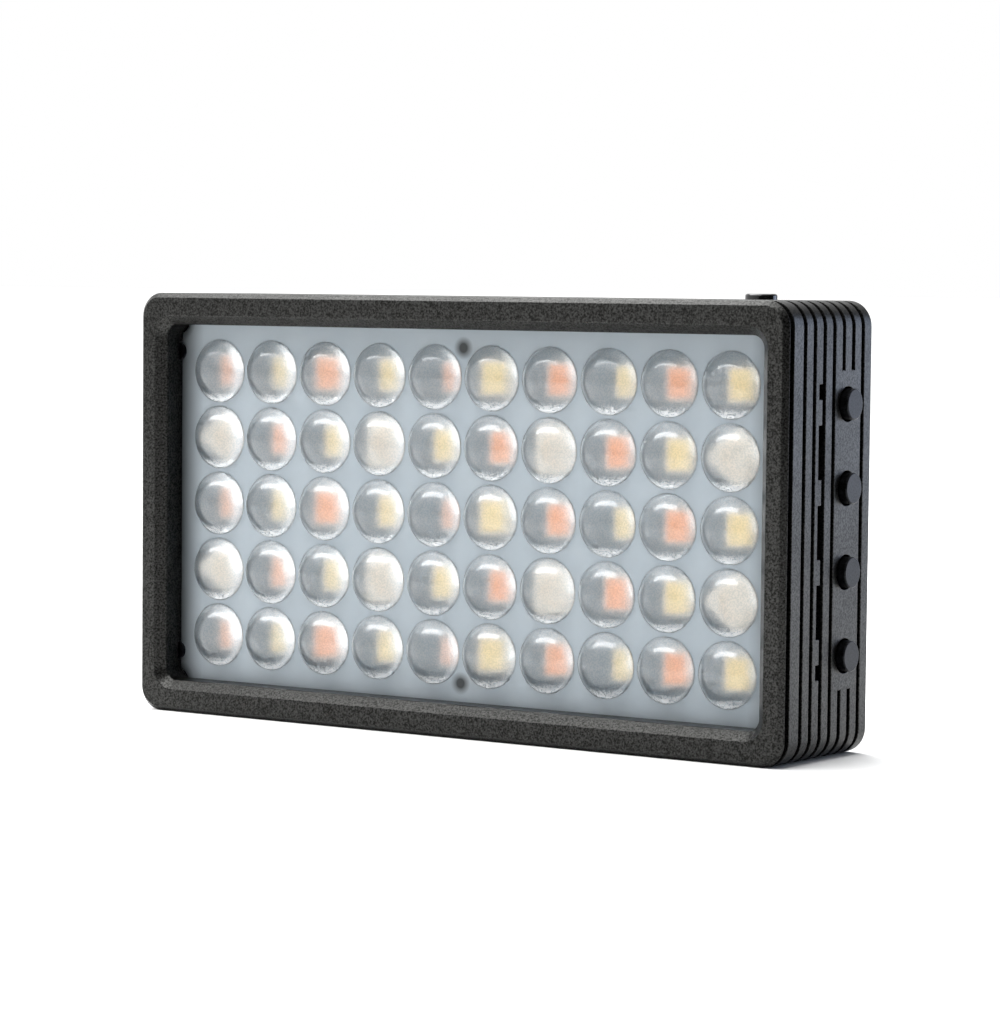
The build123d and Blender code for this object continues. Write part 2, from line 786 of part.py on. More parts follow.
# ---------------------------------------------------------------- tripod socket
with BuildPart() as tripod_socket:
    with BuildSketch(level_plane(0)):
        with Locations((0, socket_depth)):
            Circle(socket_flange_radius)
    extrude(amount=socket_flange)
    with BuildSketch(level_plane(0)):
        with Locations((0, socket_depth)):
            Circle(socket_radius)
    extrude(amount=socket_length)
    with BuildSketch(level_plane(0)):
        with Locations((0, socket_depth)):
            Circle(socket_bore_radius)
    extrude(amount=socket_length - socket_flange, mode=Mode.SUBTRACT)
finish(tripod_socket.part, "tripod_socket")

# ---------------------------------------------------------------- side switches and buttons
with BuildPart() as side_switch_board:
    with BuildSketch(right_plane(switch_board_x - switch_board_thickness)):
        with Locations((main_board_depth - switch_board_reach / 2, 0)):
            Rectangle(switch_board_reach, switch_board_length)
    extrude(amount=switch_board_thickness)
finish(side_switch_board.part, "side_switch_board")

with BuildPart() as side_switches:
    for z in side_button_heights:
        with BuildSketch(right_plane(switch_board_x)):
            with Locations((button_depth, z)):
                Rectangle(switch_size, switch_size)
        extrude(amount=switch_body)
        with BuildSketch(right_plane(switch_board_x + switch_body)):
            with Locations((button_depth, z)):
                Circle(plunger_radius)
        extrude(amount=plunger_height)
finish(side_switches.part, "side_switches")

side_button_names = ("up", "down", "mode", "set")
for name, z in zip(side_button_names, side_button_heights):
    with BuildPart() as side_button:
        with BuildSketch(right_plane(button_inner_x)):
            with Locations((button_depth, z)):
                Circle(side_button_radius)
        extrude(amount=half_width + side_button_proud - button_inner_x)
        chamfer(side_button.faces().sort_by(Axis.X)[-1].edges(), button_edge_chamfer)
        with BuildSketch(right_plane(button_inner_x)):
            with Locations((button_depth, z)):
                Circle(side_button_radius + button_flange)
        extrude(amount=-button_flange_thickness)
        with BuildSketch(right_plane(button_inner_x - button_flange_thickness)):
            with Locations((button_depth, z)):
                Circle(button_stem_radius)
        extrude(amount=-button_inner_clearance)
    finish(side_button.part, f"side_button_{name}")

# ---------------------------------------------------------------- power switch and button
power_switch_top = power_press_z - press_gap - plunger_height
with BuildPart() as power_switch:
    with BuildSketch(level_plane(power_switch_top)):
        with Locations((power_button_x, button_depth)):
            Rectangle(switch_size, 2 * (main_board_depth - button_depth))
    extrude(amount=-power_switch_length)
    with BuildSketch(level_plane(power_switch_top)):
        with Locations((power_button_x, button_depth)):
            Circle(plunger_radius)
    extrude(amount=plunger_height)
finish(power_switch.part, "power_switch")

with BuildPart() as power_button:
    with BuildSketch(level_plane(power_inner_z)):
        with Locations((power_button_x, button_depth)):
            Circle(power_button_radius)
    extrude(amount=height + power_button_proud - power_inner_z)
    fillet(power_button.faces().sort_by(Axis.Z)[-1].edges(), button_edge_chamfer)
    with BuildSketch(level_plane(power_inner_z)):
        with Locations((power_button_x, button_depth)):
            Circle(power_button_radius + button_flange)
    extrude(amount=-button_flange_thickness)
    with BuildSketch(level_plane(power_inner_z - button_flange_thickness)):
        with Locations((power_button_x, button_depth)):
            Circle(button_stem_radius)
    extrude(amount=-button_inner_clearance)
finish(power_button.part, "power_button")
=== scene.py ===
"""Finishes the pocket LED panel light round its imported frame.

It adds rounded edges, moulded lenses and real finishes. Constants are in millimetres, unless they say
otherwise, and the scene is in metres, in the frame of the CAD model.
"""
import json
import math

import bmesh
import bpy
from mathutils import Matrix, Vector


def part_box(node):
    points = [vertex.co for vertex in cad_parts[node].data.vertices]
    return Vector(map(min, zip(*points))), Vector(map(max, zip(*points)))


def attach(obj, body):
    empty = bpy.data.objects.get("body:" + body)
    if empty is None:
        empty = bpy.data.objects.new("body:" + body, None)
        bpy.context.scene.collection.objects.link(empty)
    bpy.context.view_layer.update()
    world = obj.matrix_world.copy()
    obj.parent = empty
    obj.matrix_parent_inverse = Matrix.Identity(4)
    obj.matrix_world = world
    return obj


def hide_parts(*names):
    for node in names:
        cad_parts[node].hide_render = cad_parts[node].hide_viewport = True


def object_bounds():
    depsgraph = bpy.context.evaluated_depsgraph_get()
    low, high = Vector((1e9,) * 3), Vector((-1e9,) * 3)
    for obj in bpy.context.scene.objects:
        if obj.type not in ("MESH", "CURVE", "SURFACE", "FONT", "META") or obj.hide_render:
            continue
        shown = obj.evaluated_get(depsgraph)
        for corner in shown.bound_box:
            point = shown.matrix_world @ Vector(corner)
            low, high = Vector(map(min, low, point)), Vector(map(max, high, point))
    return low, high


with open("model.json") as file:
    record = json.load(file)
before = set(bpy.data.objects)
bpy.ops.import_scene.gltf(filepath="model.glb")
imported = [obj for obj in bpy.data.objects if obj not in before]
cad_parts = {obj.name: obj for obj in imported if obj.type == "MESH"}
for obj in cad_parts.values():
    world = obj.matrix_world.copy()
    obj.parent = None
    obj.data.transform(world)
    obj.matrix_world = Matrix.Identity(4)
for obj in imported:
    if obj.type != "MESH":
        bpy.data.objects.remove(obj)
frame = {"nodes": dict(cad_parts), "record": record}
cad_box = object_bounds()

MM = 0.001

# lens plate
LENS_COLUMNS = 10
LENS_ROWS = 5
LENS_PITCH = 11.04
LENS_RADIUS = 5.15
LENS_RISE = 3.2
LENS_TURNS = 56
LENS_RINGS = 14
ROOT_FILLET = 0.2
ROOT_RINGS = 3
PLATE_THICKNESS = 1.4
NOTCH_RADIUS = 2.1
NOTCH_STEPS = 20
LENS_SCREW_INSET = 1.3
LENS_SCREW_RISE = 25.2
LENS_SCREW_HOLE = 0.75
LENS_SCREW_SIDES = 16
LENS_SCREW_OPEN = 0.9  # share of the hole's radius in which no face is kept, less than 1 for its flat sides

# frost on the lenses: the noise between which it turns to glitter, and the slopes of the lower and upper
# rims, as the upward part of their direction, where light is painted in: paler upper rims and a painted glow
# on the lower rims
GLITTER = (0.42, 0.6)
LOWER_RIM = (-0.6, -0.82)
UPPER_RIM = (0.45, 0.8)

# the heads and posts behind the frosted web, and the painted shade that darkens it at them and at the
# bezel's walls
POST_HEAD_RADIUS = 1.6
BOARD_HEAD_RADIUS = 1.25
BOARD_HEAD_SHADOW = (0.7, 1.9)
POST_SHADOW_REACH = 3.4
THROAT_INSET = 1.9
WALL_SHADE = 4.5
WALL_SHADE_FLOOR = 0.12

# power key; the flange is given by its two heights above the key's foot
POWER_KEY_RADIUS = 2.5
POWER_KEY_STEM = 1.2
POWER_KEY_FLANGE = (0.3, 0.9)
POWER_KEY_ROUND = 0.4
POWER_KEY_ROUND_STEPS = 6
POWER_KEY_TURNS = 64

# a CAD mesh is merged and its flat faces joined before its edges are rounded; angles are in degrees
MERGE_REACH = 0.002
FLAT_ANGLE = 0.4
SHARP_ANGLE = 25.0

NODES = frame["nodes"]
BODY_OF = {node: body for body, nodes in frame["record"]["behaviour"]["bodies"].items() for node in nodes}
SLOT_OF = {part["node"]: part["material_slot"] for part in frame["record"]["subparts"]}


# ---------------------------------------------------------------- material tools
def linear(code):
    """An sRGB hex colour as linear red, green, blue and alpha."""
    channels = [int(code[i : i + 2], 16) / 255 for i in (1, 3, 5)]
    return [c / 12.92 if c <= 0.04045 else ((c + 0.055) / 1.055) ** 2.4 for c in channels] + [1.0]


def add(tree, kind, sockets=(), **settings):
    """Adds a node with its settings, and gives each named or numbered socket its value or its link."""
    made = tree.nodes.new("ShaderNode" + kind)
    for name, value in settings.items():
        setattr(made, name, value)
    for name, value in dict(sockets).items():
        if isinstance(value, bpy.types.NodeSocket):
            tree.links.new(value, made.inputs[name])
        else:
            made.inputs[name].default_value = value
    return made


def new_tree(name):
    """A new material's empty node tree, and the position of each point of its piece."""
    material = bpy.data.materials.new(name)
    material.use_nodes = True
    material.node_tree.nodes.clear()
    place = add(material.node_tree, "TexCoord").outputs["Object"]
    return material, material.node_tree, place


def speckle(tree, place, size, detail=2.0):
    """Fine noise whose grains are about size millimetres across, from 0 to 1."""
    noise = add(tree, "TexNoise", {"Vector": place, "Scale": 1 / (size * MM), "Detail": detail})
    return noise.outputs[0]


def between(tree, amount, low, high, start=0.35, end=0.65):
    """A number that runs from low to high as amount runs from start to end."""
    sockets = {"Value": amount, "From Min": start, "From Max": end, "To Min": low, "To Max": high}
    return add(tree, "MapRange", sockets).outputs[0]


def two_tone(tree, amount, low, high):
    """A colour between two hex colours."""
    sockets = {0: amount, 6: linear(low), 7: linear(high)}
    return add(tree, "Mix", sockets, data_type="RGBA").outputs[2]


def relief(tree, height, depth, strength=1.0, normal=None):
    """Surface relief of depth millimetres from a height between 0 and 1."""
    sockets = {"Height": height, "Distance": depth * MM, "Strength": strength}
    if normal is not None:
        sockets["Normal"] = normal
    return add(tree, "Bump", sockets).outputs[0]


def shade(material, tree, sockets):
    """Closes a material with one principled surface."""
    surface = add(tree, "BsdfPrincipled", sockets).outputs[0]
    add(tree, "OutputMaterial", {"Surface": surface})
    return material


# ---------------------------------------------------------------- materials
def blasted_aluminium(name, low, high, grain=0.3, roughness=0.37, depth=0.02):
    """Aluminium, bead blasted and anodised: a dark satin metal that glitters with fine dimples."""
    material, tree, place = new_tree(name)
    dimples = speckle(tree, place, grain)
    cloud = speckle(tree, place, 9.0)
    return shade(material, tree, {
        "Base Color": two_tone(tree, between(tree, dimples, 0.0, 1.0), low, high),
        "Metallic": 1.0,
        "Roughness": between(tree, cloud, roughness - 0.03, roughness + 0.03),
        "Normal": relief(tree, dimples, depth),
    })


def moulded_plastic(name, low, high, grain=0.3, roughness=0.45, depth=0.002, ior=1.5, painted_glow=0.0):
    """Injection moulded plastic: even colour, soft gloss and a very fine eroded texture.

    Its last argument is a painted glow: a steady light in the part's lighter colour, which brightens it
    though it is no lamp.
    """
    material, tree, place = new_tree(name)
    texture = speckle(tree, place, grain)
    return shade(material, tree, {
        "Base Color": two_tone(tree, speckle(tree, place, 4.0), low, high),
        "Roughness": between(tree, texture, roughness - 0.05, roughness + 0.05),
        "IOR": ior,
        # painted glow
        "Emission Color": linear(high),
        "Emission Strength": painted_glow,
        "Normal": relief(tree, texture, depth),
    })


def lens_acrylic():
    """Acrylic lenses moulded in an eroded tool: gloss over a frost that glitters and softens what is behind.

    At the steep rims light is painted in by slope: the upper rims are made paler, as painted light from
    above, and the lower ones turn white and take a glittering painted glow where the light would gather.
    """
    material, tree, place = new_tree("moulded_acrylic_lens")
    frost = speckle(tree, place, 0.26, 3.0)
    glitter = between(tree, frost, 0.0, 1.0, *GLITTER)
    slope = add(tree, "SeparateXYZ", {0: add(tree, "TexCoord").outputs["Normal"]}).outputs["Z"]
    rim = between(tree, slope, 0.0, 1.0, *LOWER_RIM)
    painted_top_light = between(tree, slope, 0.0, 0.3, *UPPER_RIM)
    painted_rim_glow = add(tree, "Math", {0: rim, 1: glitter}, operation="MULTIPLY").outputs[0]
    painted_rim_light = add(tree, "Math", {0: painted_rim_glow, 1: painted_top_light}, operation="MAXIMUM").outputs[0]
    return shade(material, tree, {
        "Base Color": two_tone(tree, glitter, "#DCE5EA", "#FFFFFF"),
        "Roughness": 0.33,
        "IOR": 1.49,
        # painted light: transmission falls at the rims, so the upper rims look paler and the glittering
        # lower rims white
        "Transmission Weight": between(tree, painted_rim_light, 0.94, 0.15, 0.0, 1.0),
        "Coat Weight": 0.8,
        "Coat Roughness": 0.13,
        "Coat IOR": 1.49,
        # painted glow on the lower rims, in the glitter of the frost
        "Emission Color": linear("#FFFFFF"),
        "Emission Strength": between(tree, painted_rim_glow, 0.0, 0.5, 0.0, 1.0),
        "Normal": relief(tree, frost, 0.035),
    })


def clear_of(tree, place, points, start, end):
    """A number that is 0 within start millimetres of any of some points, and 1 beyond end millimetres."""
    nearest = end * MM
    for point in points:
        away = add(tree, "VectorMath", {0: place, 1: point}, operation="DISTANCE").outputs["Value"]
        nearest = add(tree, "Math", {0: nearest, 1: away}, operation="MINIMUM").outputs[0]
    return between(tree, nearest, 0.0, 1.0, start * MM, end * MM)


def frosted_acrylic():
    """The flat web between the lenses, eroded more deeply: it scatters light and veils the board.

    Painted shade darkens its colour towards its ends by the bezel's walls, and in soft dark discs at the
    heads of the board screws and the corner posts behind it.
    """
    material, tree, place = new_tree("frosted_acrylic_web")
    frost = speckle(tree, place, 0.3, 3.0)
    cloud = speckle(tree, place, 6.0)
    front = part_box("lens_plate")[1].y - PLATE_THICKNESS * MM
    board_low, board_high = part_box("board_screws")
    head = BOARD_HEAD_RADIUS * MM
    heads = [(0, front, board_low.z + head), (0, front, board_high.z - head)]
    post_low, post_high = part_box("assembly_screws")
    inset = POST_HEAD_RADIUS * MM
    posts = [
        (x, front, z)
        for x in (post_low.x + inset, post_high.x - inset)
        for z in (post_low.z + inset, post_high.z - inset)
    ]
    side = add(tree, "SeparateXYZ", {0: place}).outputs["X"]
    out = add(tree, "Math", {0: side}, operation="ABSOLUTE").outputs[0]
    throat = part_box("lens_plate")[1].x - THROAT_INSET * MM
    # painted shade: darker towards the ends of the web, where the bezel's walls stand
    lit = between(tree, out, WALL_SHADE_FLOOR, 1.0, throat, throat - WALL_SHADE * MM)
    # painted shade: soft dark discs at the board screw heads and the corner posts
    for points, reach in ((heads, BOARD_HEAD_SHADOW), (posts, (NOTCH_RADIUS, POST_SHADOW_REACH))):
        clear = clear_of(tree, place, points, *reach)
        lit = add(tree, "Math", {0: lit, 1: clear}, operation="MULTIPLY").outputs[0]
    tone = two_tone(tree, cloud, "#C4D0D9", "#D3DDE4")
    # painted shade: the colour runs to #2E3335 where the mask falls
    painted_shade_colour = add(tree, "Mix", {0: lit, 6: linear("#2E3335"), 7: tone}, data_type="RGBA").outputs[2]
    return shade(material, tree, {
        "Base Color": painted_shade_colour,
        "Roughness": 0.5,
        "IOR": 1.49,
        "Transmission Weight": 0.55,
        "Normal": relief(tree, frost, 0.012),
    })


def clear_acrylic():
    """The back and the edges of the lens plate, as the polished half of the tool leaves them."""
    material, tree, place = new_tree("polished_acrylic")
    ripple = speckle(tree, place, 2.5)
    return shade(material, tree, {
        "Base Color": linear("#F4F8FA"),
        "Roughness": 0.03,
        "IOR": 1.49,
        "Transmission Weight": 1.0,
        "Normal": relief(tree, ripple, 0.001),
    })


FINISHES = {
    "anodised_aluminium": blasted_aluminium("blasted_anodised_aluminium", "#1A1A19", "#3E3E3D"),
    "button_aluminium": blasted_aluminium(
        "turned_anodised_aluminium", "#151617", "#26272A", grain=0.25, roughness=0.36, depth=0.01
    ),
    "button_gloss": moulded_plastic("polished_abs", "#0B0B0C", "#101012", 0.8, 0.08, 0.0005),
    "white_board": moulded_plastic("white_solder_mask", "#66757F", "#72828C", 0.4, 0.5),
    # the LED resin and the phosphors take a painted glow, so that they look lit behind the lens plate
    "white_package": moulded_plastic("white_led_resin", "#FBEBD8", "#FFF2E2", 0.15, 0.5, painted_glow=0.08),
    "warm_phosphor": moulded_plastic(
        "warm_phosphor_silicone", "#FF9356", "#FFAA72", 0.1, 0.35, 0.001, ior=1.41, painted_glow=0.22
    ),
    "cool_phosphor": moulded_plastic(
        "cool_phosphor_silicone", "#FFD687", "#FFE09E", 0.1, 0.35, 0.001, ior=1.41, painted_glow=0.2
    ),
    "led_chip": moulded_plastic("bare_led_die", "#8C8F8C", "#A2A49E", 0.05, 0.2, 0.0003, 1.77),
    "black_screw": blasted_aluminium("black_zinc_steel", "#17171A", "#26262A", 0.15, 0.35, 0.002),
    "steel_screw": blasted_aluminium("bright_zinc_steel", "#B4B8BC", "#C6CACE", 0.15, 0.3, 0.002),
    "thermal_pad": moulded_plastic("thermal_silicone_sheet", "#7E8C9C", "#8C99A8", 0.5, 0.7, 0.01, 1.41),
    "foam": moulded_plastic("closed_cell_foam", "#1E1E20", "#2E2E31", 0.35, 0.85, 0.05),
    "battery_foil": blasted_aluminium("pouch_foil", "#B9BCC2", "#CFD2D7", 1.5, 0.28, 0.02),
    "connector_plastic": moulded_plastic("natural_nylon", "#D9D1BE", "#E4DDCC", 0.4, 0.5),
    "wire_insulation": moulded_plastic("red_silicone_insulation", "#9C1512", "#B01D19", 0.4, 0.4),
    "ribbon": moulded_plastic("polyimide_film", "#B5651D", "#C4762B", 0.8, 0.3),
    "green_board": moulded_plastic("green_solder_mask", "#0E4A2A", "#166039", 1.2, 0.35),
    "chip_resin": moulded_plastic("epoxy_moulding_compound", "#1B1B1D", "#242427", 0.12, 0.6, 0.004),
    "ferrite": moulded_plastic("sintered_ferrite", "#2B2B2D", "#38383B", 0.25, 0.6, 0.01),
    "display": moulded_plastic("display_cell", "#0A0D12", "#10141B", 0.6, 0.15),
    "display_glass": moulded_plastic("smoked_cover_glass", "#060708", "#0A0B0D", 1.5, 0.03, 0.0002, 1.52),
    "plated_shell": blasted_aluminium("nickel_plated_steel", "#A9A59D", "#BDB9B1", 0.3, 0.25, 0.001),
    "brass_insert": blasted_aluminium("turned_brass", "#B08D45", "#C6A35A", 0.3, 0.25, 0.002),
    "switch_body": moulded_plastic("switch_housing_nylon", "#202022", "#2B2B2E", 0.3, 0.5),
    "lens_acrylic": lens_acrylic(),
}
PLATE_FINISHES = [FINISHES["lens_acrylic"], frosted_acrylic(), clear_acrylic()]
FROSTED = 1
POLISHED = 2


# ---------------------------------------------------------------- piece tools
def piece(name, shape, stands_for, finishes=None):
    """Makes a finished piece from a bmesh, standing for a CAD node and moving with its body."""
    mesh = bpy.data.meshes.new(name)
    shape.to_mesh(mesh)
    shape.free()
    made = bpy.data.objects.new(name, mesh)
    bpy.context.scene.collection.objects.link(made)
    slot = SLOT_OF[stands_for]
    for finish in finishes or [FINISHES[slot]]:
        mesh.materials.append(finish)
    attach(made, BODY_OF[stands_for])
    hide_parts(stands_for)
    return made


def smooth_but_crisp(shape):
    """Shades a shape's faces smooth, and leaves its sharp edges crisp."""
    for face in shape.faces:
        face.smooth = True
    for edge in shape.edges:
        edge.smooth = edge.calc_face_angle(0.0) < math.radians(SHARP_ANGLE)


def softened(node, name, radius):
    """A copy of a CAD piece, its flat faces joined and its sharp edges rounded to radius millimetres."""
    shape = bmesh.new()
    shape.from_mesh(NODES[node].data)
    bmesh.ops.remove_doubles(shape, verts=shape.verts, dist=MERGE_REACH * MM)
    flat = math.radians(FLAT_ANGLE)
    bmesh.ops.dissolve_limit(shape, angle_limit=flat, verts=shape.verts, edges=shape.edges)
    smooth_but_crisp(shape)
    made = piece(name, shape, node)
    rounding = made.modifiers.new("rounded_edges", "BEVEL")
    rounding.width = radius * MM
    rounding.segments = 2
    rounding.limit_method = "ANGLE"
    rounding.angle_limit = math.radians(SHARP_ANGLE)
    rounding.use_clamp_overlap = False
    rounding.harden_normals = True
    return made


# ---------------------------------------------------------------- lens plate
def first_vert(made):
    """The first vertex among the pieces of a mesh that an operator returns."""
    return next(g for g in made if isinstance(g, bmesh.types.BMVert))


def single_lens(front):
    """One lens: an arc from its crown to its root, and a small root fillet, spun about its axis."""
    sphere = (LENS_RADIUS**2 + LENS_RISE**2) / (2 * LENS_RISE)
    sink = sphere - LENS_RISE
    reach = math.sqrt((sphere + ROOT_FILLET) ** 2 - (sink + ROOT_FILLET) ** 2)
    lean = math.atan2(reach, sink + ROOT_FILLET)
    shape = bmesh.new()
    crown = shape.verts.new((0, front - LENS_RISE, 0))
    arc = bmesh.ops.spin(
        shape, geom=[crown], cent=(0, front + sink, 0), axis=(0, 0, 1), angle=lean, steps=LENS_RINGS
    )
    root = first_vert(arc["geom_last"])
    side = 1 if root.co.x > 0 else -1
    bmesh.ops.spin(
        shape,
        geom=[root],
        cent=(side * reach, front - ROOT_FILLET, 0),
        axis=(0, 0, 1),
        angle=-lean,
        steps=ROOT_RINGS,
    )
    bmesh.ops.spin(
        shape,
        geom=shape.verts[:] + shape.edges[:],
        cent=(0, 0, 0),
        axis=(0, 1, 0),
        angle=math.tau,
        steps=LENS_TURNS,
        use_merge=True,
    )
    bmesh.ops.remove_doubles(shape, verts=shape.verts, dist=MM)
    return shape


def notched_outline(shape, front, half_x, half_z, centre_z):
    """Draws the plate's outline as edges: a rectangle with a round notch at each corner screw."""
    screws = [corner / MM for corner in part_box("assembly_screws")]
    post_x = screws[1].x - POST_HEAD_RADIUS
    post_z = screws[1].z - POST_HEAD_RADIUS - centre_z
    side_drop = math.sqrt(NOTCH_RADIUS**2 - (half_x - post_x) ** 2)
    end_drop = math.sqrt(NOTCH_RADIUS**2 - (half_z - post_z) ** 2)
    first = math.atan2(-side_drop, half_x - post_x)
    last = math.atan2(half_z - post_z, -end_drop)
    sides = {}
    ends = {}
    for sx in (-1, 1):
        for sz in (-1, 1):
            sides[sx, sz] = shape.verts.new((sx * half_x, front, centre_z + sz * (post_z - side_drop)))
            notch = bmesh.ops.spin(
                shape,
                geom=[sides[sx, sz]],
                cent=(sx * post_x, front, centre_z + sz * post_z),
                axis=(0, -1, 0),
                angle=-sx * sz * (first - last + math.tau),
                steps=NOTCH_STEPS,
            )
            ends[sx, sz] = first_vert(notch["geom_last"])
    for sign in (-1, 1):
        shape.edges.new((sides[sign, -1], sides[sign, 1]))
        shape.edges.new((ends[-1, sign], ends[1, sign]))


def fill_round(shape, edges, finish, holes):
    """Fills a flat face between edges in the finish of that number, and leaves the round holes open."""
    filled = bmesh.ops.triangle_fill(shape, edges=edges, use_beauty=True)
    faces = [g for g in filled["geom"] if isinstance(g, bmesh.types.BMFace)]
    over = []
    for face in faces:
        middle = face.calc_center_median()
        face.material_index = finish
        if any(math.hypot(middle.x - x, middle.z - z) < radius for x, z, radius in holes):
            over.append(face)
    bmesh.ops.delete(shape, geom=over, context="FACES_ONLY")


def lens_array():
    """The moulded plate: fifty lenses, a frosted web round them, and polished edges and back."""
    low, high = (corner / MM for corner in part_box("lens_plate"))
    front = high.y - PLATE_THICKNESS
    centre_z = (low.z + high.z) / 2
    shape = bmesh.new()
    one = single_lens(front)
    lens = bpy.data.meshes.new("lens")
    one.to_mesh(lens)
    one.free()
    holes = []
    for row in range(LENS_ROWS):
        for column in range(LENS_COLUMNS):
            before = len(shape.verts)
            shape.from_mesh(lens)
            shape.verts.ensure_lookup_table()
            x = (column - (LENS_COLUMNS - 1) / 2) * LENS_PITCH
            z = centre_z + (row - (LENS_ROWS - 1) / 2) * LENS_PITCH
            bmesh.ops.translate(shape, verts=shape.verts[before:], vec=(x, 0, z))
            holes.append((x, z, LENS_RADIUS))
    bpy.data.meshes.remove(lens)
    lens_faces = set(shape.faces)
    root_rings = [e for e in shape.edges if e.is_boundary]
    before = len(shape.edges)
    notched_outline(shape, front, high.x, (high.z - low.z) / 2, centre_z)
    for x in (low.x + LENS_SCREW_INSET, high.x - LENS_SCREW_INSET):
        for z in (centre_z - LENS_SCREW_RISE, centre_z + LENS_SCREW_RISE):
            seat = Matrix.Translation((x, front, z)) @ Matrix.Rotation(math.radians(90), 4, "X")
            bmesh.ops.create_circle(
                shape, segments=LENS_SCREW_SIDES, radius=LENS_SCREW_HOLE, matrix=seat
            )
            holes.append((x, z, LENS_SCREW_HOLE * LENS_SCREW_OPEN))
    shape.edges.ensure_lookup_table()
    cut_edges = shape.edges[before:]
    walls = bmesh.ops.extrude_edge_only(shape, edges=cut_edges)["geom"]
    back_verts = [g for g in walls if isinstance(g, bmesh.types.BMVert)]
    bmesh.ops.translate(shape, verts=back_verts, vec=(0, PLATE_THICKNESS, 0))
    for face in (g for g in walls if isinstance(g, bmesh.types.BMFace)):
        face.material_index = POLISHED
    back_edges = [g for g in walls if isinstance(g, bmesh.types.BMEdge) and g.is_boundary]
    screw_holes = holes[LENS_COLUMNS * LENS_ROWS :]
    fill_round(shape, cut_edges + root_rings, FROSTED, holes)
    fill_round(shape, back_edges, POLISHED, screw_holes)
    bmesh.ops.recalc_face_normals(shape, faces=shape.faces)
    for face in shape.faces:
        face.smooth = face in lens_faces
    bmesh.ops.scale(shape, verts=shape.verts, vec=(MM, MM, MM))
    return piece("lens_array", shape, "lens_plate", PLATE_FINISHES)


# ---------------------------------------------------------------- power key
def power_key():
    """A polished cap with a well rounded rim, on its flange and stem, turned about its axis."""
    low, high = (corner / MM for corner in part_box("power_button"))
    centre = (low + high) / 2
    flange_low, flange_high = (low.z + rise for rise in POWER_KEY_FLANGE)
    flange_radius = (high.x - low.x) / 2
    crown = high.z - POWER_KEY_ROUND
    shape = bmesh.new()
    outline = [
        (0, low.z),
        (POWER_KEY_STEM, low.z),
        (POWER_KEY_STEM, flange_low),
        (flange_radius, flange_low),
        (flange_radius, flange_high),
        (POWER_KEY_RADIUS, flange_high),
        (POWER_KEY_RADIUS, crown),
    ]
    corners = [shape.verts.new((x, 0, z)) for x, z in outline]
    for first, second in zip(corners, corners[1:]):
        shape.edges.new((first, second))
    rim = bmesh.ops.spin(
        shape,
        geom=corners[-1:],
        cent=(POWER_KEY_RADIUS - POWER_KEY_ROUND, 0, crown),
        axis=(0, -1, 0),
        angle=math.radians(90),
        steps=POWER_KEY_ROUND_STEPS,
    )
    last = first_vert(rim["geom_last"])
    shape.edges.new((last, shape.verts.new((0, 0, high.z))))
    bmesh.ops.spin(
        shape,
        geom=shape.verts[:] + shape.edges[:],
        cent=(0, 0, 0),
        axis=(0, 0, 1),
        angle=math.tau,
        steps=POWER_KEY_TURNS,
        use_merge=True,
    )
    bmesh.ops.remove_doubles(shape, verts=shape.verts, dist=MM)
    bmesh.ops.recalc_face_normals(shape, faces=shape.faces)
    bmesh.ops.translate(shape, verts=shape.verts, vec=(centre.x, centre.y, 0))
    smooth_but_crisp(shape)
    bmesh.ops.scale(shape, verts=shape.verts, vec=(MM, MM, MM))
    return piece("power_key", shape, "power_button")


# ---------------------------------------------------------------- the finished pieces
lens_array()
softened("front_bezel", "bezel_frame", 0.12)
softened("finned_housing", "fin_body", 0.1)
softened("back_cover", "rear_shell", 0.12)
power_key()
for place in ("up", "down", "mode", "set"):
    softened(f"side_button_{place}", f"side_key_{place}", 0.06)
softened("assembly_screws", "long_screws", 0.08)
softened("tripod_socket", "tripod_insert", 0.1)
softened("usb_c_socket", "usb_c_shell", 0.06)
softened("display_window", "display_glass_pane", 0.08)

# the pieces that stay as the CAD model has them take their finishes too
for node, cad in NODES.items():
    cad.data.materials.clear()
    cad.data.materials.append(FINISHES[SLOT_OF[node]])


# ---------------------------------------------------------------- floor, light and camera
# lengths here are in metres, but the film and focus in millimetres, and angles in degrees
FLOOR_HALF = 20
FLAG_SIZE = (0.56, 0.24)
FLAG_YAW = 55.4
FLAG_PLACE = (0.3, -0.2, 0.13)
OPEN_SIDE = (-0.78, -0.2, 0.5)
ROOM_STRENGTH = (0.03, 1.25)
ROOM_EDGE = (-0.35, 0.75)
MIDDLE = (0, 0, 0.035)
STRIP_PLACE = (-0.28, -0.31, 0.7)
CAMERA_PLACE = (0.333742, -0.483751, 0.072184)
CAMERA_YAW = 34.6091
CAMERA_PITCH = -3.6283
CAMERA_ROLL = 0.5616
CAMERA_FOCUS = 127.476
FILM_WIDTH = 36


def stand(name, shape, finish):
    """Makes a piece of the stage from a bmesh."""
    mesh = bpy.data.meshes.new(name)
    shape.to_mesh(mesh)
    shape.free()
    mesh.materials.append(finish)
    made = bpy.data.objects.new(name, mesh)
    bpy.context.scene.collection.objects.link(made)
    return made


def studio_floor():
    """A pale matte table, level with the light's lowest face."""
    material, tree, place = new_tree("pale_table_laminate")
    shade(material, tree, {
        "Base Color": two_tone(tree, speckle(tree, place, 40.0), "#F4F4F3", "#F8F8F7"),
        "Roughness": 0.7,
    })
    shape = bmesh.new()
    lift = Matrix.Translation((0, 0, cad_box[0][2]))
    bmesh.ops.create_grid(shape, x_segments=1, y_segments=1, size=FLOOR_HALF, matrix=lift)
    stand("studio_floor", shape, material)


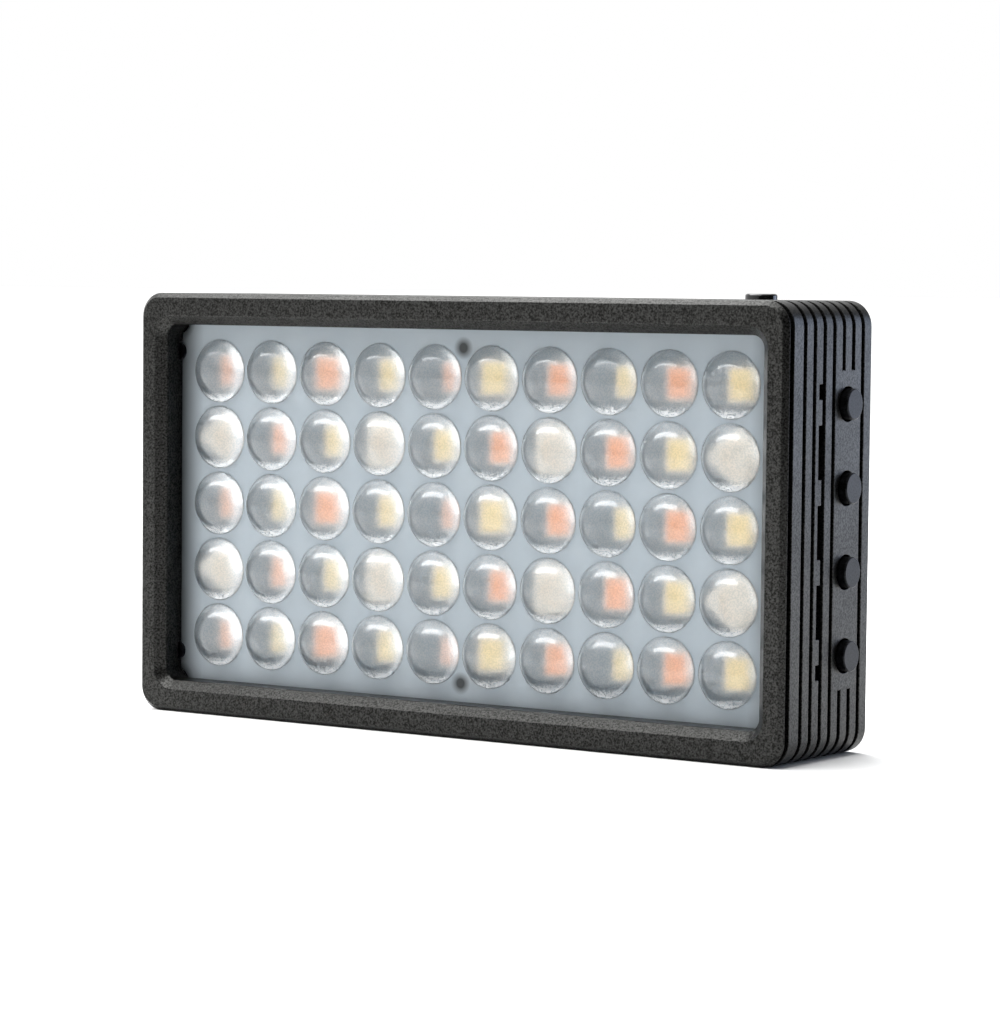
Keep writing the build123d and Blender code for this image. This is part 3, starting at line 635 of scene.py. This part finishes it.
def dark_flag():
    """A black card at the front right, which keeps that side's reflections dark.

    The camera looks through it.
    """
    material, tree, place = new_tree("black_flock_card")
    shade(material, tree, {
        "Base Color": two_tone(tree, speckle(tree, place, 2.0), "#060606", "#0C0C0C"),
        "Roughness": 0.9,
    })
    shape = bmesh.new()
    bmesh.ops.create_grid(shape, x_segments=1, y_segments=1, size=0.5)
    bmesh.ops.scale(shape, verts=shape.verts, vec=(*FLAG_SIZE, 1))
    turn = Matrix.Rotation(math.radians(FLAG_YAW), 4, "Z") @ Matrix.Rotation(math.radians(90), 4, "X")
    bmesh.ops.transform(shape, verts=shape.verts, matrix=Matrix.Translation(FLAG_PLACE) @ turn)
    stand("dark_flag", shape, material).visible_camera = False


def studio_light(name, kind, place, aim, strength, colour="#FFFFFF", **settings):
    """A soft lamp at place, aimed at a point."""
    lamp = bpy.data.lights.new(name, kind)
    lamp.energy = strength
    lamp.color = linear(colour)[:3]
    for key, value in settings.items():
        setattr(lamp, key, value)
    made = bpy.data.objects.new(name, lamp)
    made.location = place
    made.rotation_euler = (Vector(aim) - Vector(place)).to_track_quat("-Z", "Y").to_euler()
    bpy.context.scene.collection.objects.link(made)
    return made


def studio_world():
    """A white room, open on the left and dark towards the front right; the camera sees plain white."""
    world = bpy.data.worlds.new("studio_room")
    world.use_nodes = True
    tree = world.node_tree
    tree.nodes.clear()
    direction = add(tree, "TexCoord").outputs["Generated"]
    open_side = Vector(OPEN_SIDE).normalized()
    facing = add(tree, "VectorMath", {0: direction, 1: open_side}, operation="DOT_PRODUCT").outputs["Value"]
    room = between(tree, facing, *ROOM_STRENGTH, *ROOM_EDGE)
    seen = add(tree, "LightPath").outputs["Is Camera Ray"]
    strength = add(tree, "Mix", {0: seen, 2: room, 3: 1.0}, data_type="FLOAT").outputs[0]
    sky = add(tree, "Background", {"Color": linear("#FFFFFF"), "Strength": strength})
    add(tree, "OutputWorld", {"Surface": sky.outputs[0]})
    bpy.context.scene.world = world


def studio_camera():
    """A long lens, from the front right, at the height of the light's top."""
    lens = bpy.data.cameras.new("studio_camera")
    lens.sensor_width = FILM_WIDTH
    lens.lens = CAMERA_FOCUS
    camera = bpy.data.objects.new("studio_camera", lens)
    camera.matrix_world = (
        Matrix.Translation(CAMERA_PLACE)
        @ Matrix.Rotation(math.radians(CAMERA_YAW), 4, "Z")
        @ Matrix.Rotation(math.radians(90 + CAMERA_PITCH), 4, "X")
        @ Matrix.Rotation(math.radians(CAMERA_ROLL), 4, "Z")
    )
    bpy.context.scene.collection.objects.link(camera)
    bpy.context.scene.camera = camera


studio_floor()
studio_world()
# the strip is aimed straight back, so that its long side stays parallel to the light's front
studio_light(
    "overhead_strip",
    "AREA",
    STRIP_PLACE,
    (STRIP_PLACE[0], 0, 0.035),
    6,
    shape="RECTANGLE",
    size=1.0,
    size_y=0.2,
)
studio_light("top_panel", "AREA", (-0.3, 0.14, 0.62), MIDDLE, 3.2, shape="RECTANGLE", size=0.5, size_y=0.35)
studio_light(
    "side_panel", "AREA", (0.5, 0.72, 0.1), MIDDLE, 3.1, "#D6E4FF", shape="RECTANGLE", size=0.6, size_y=0.5
)
studio_light("overhead_sun", "SUN", (-0.3, 0.35, 1.0), (0, 0, 0), 2.0, angle=math.radians(60))
dark_flag()
studio_camera()
bpy.context.scene.view_settings.view_transform = "Standard"
